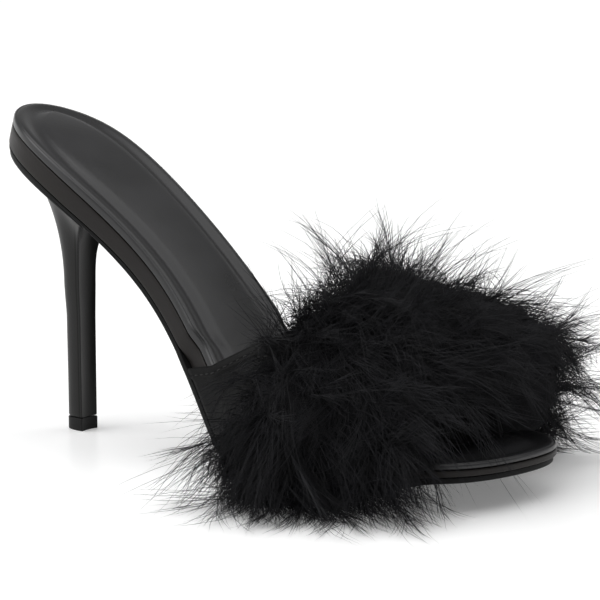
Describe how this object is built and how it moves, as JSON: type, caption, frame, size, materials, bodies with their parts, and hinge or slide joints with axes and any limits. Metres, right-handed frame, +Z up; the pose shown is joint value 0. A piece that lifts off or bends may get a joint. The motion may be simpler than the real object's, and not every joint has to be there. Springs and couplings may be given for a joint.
{
  "type": "marabou slipper",
  "caption": "Right-foot backless open-toe slipper with a slim high heel, a bare curved insole and a vamp trimmed with deep fluffy marabou down.",
  "frame": {"origin": "on the floor, at the middle of the flat spot of the outsole under the ball of the foot", "axes": "+X from the heel to the toe, +Y towards the inner side of the foot, +Z up"},
  "size_m": [0.2127, 0.1586, 0.1109],
  "materials": {
    "outsole": "matte black walking face with a fine grain",
    "insole_board": "satin black wrap round the sole's edge",
    "sock_lining": "smooth satin black over a thin pad",
    "heel_cover": "satin black cover drawn tight over the heel",
    "heel_tip": "hard black top piece",
    "vamp": "satin black with a folded and stitched topline",
    "down": "deep black fluffy down with fine loose strands"
  },
  "bodies": {
    "root": {"outsole": "outsole", "insole_board": "insole_board", "sock_lining": "sock_lining", "heel": "heel_cover", "heel_tip": "heel_tip", "vamp": "vamp", "marabou": "down"}
  },
  "joints": []
}
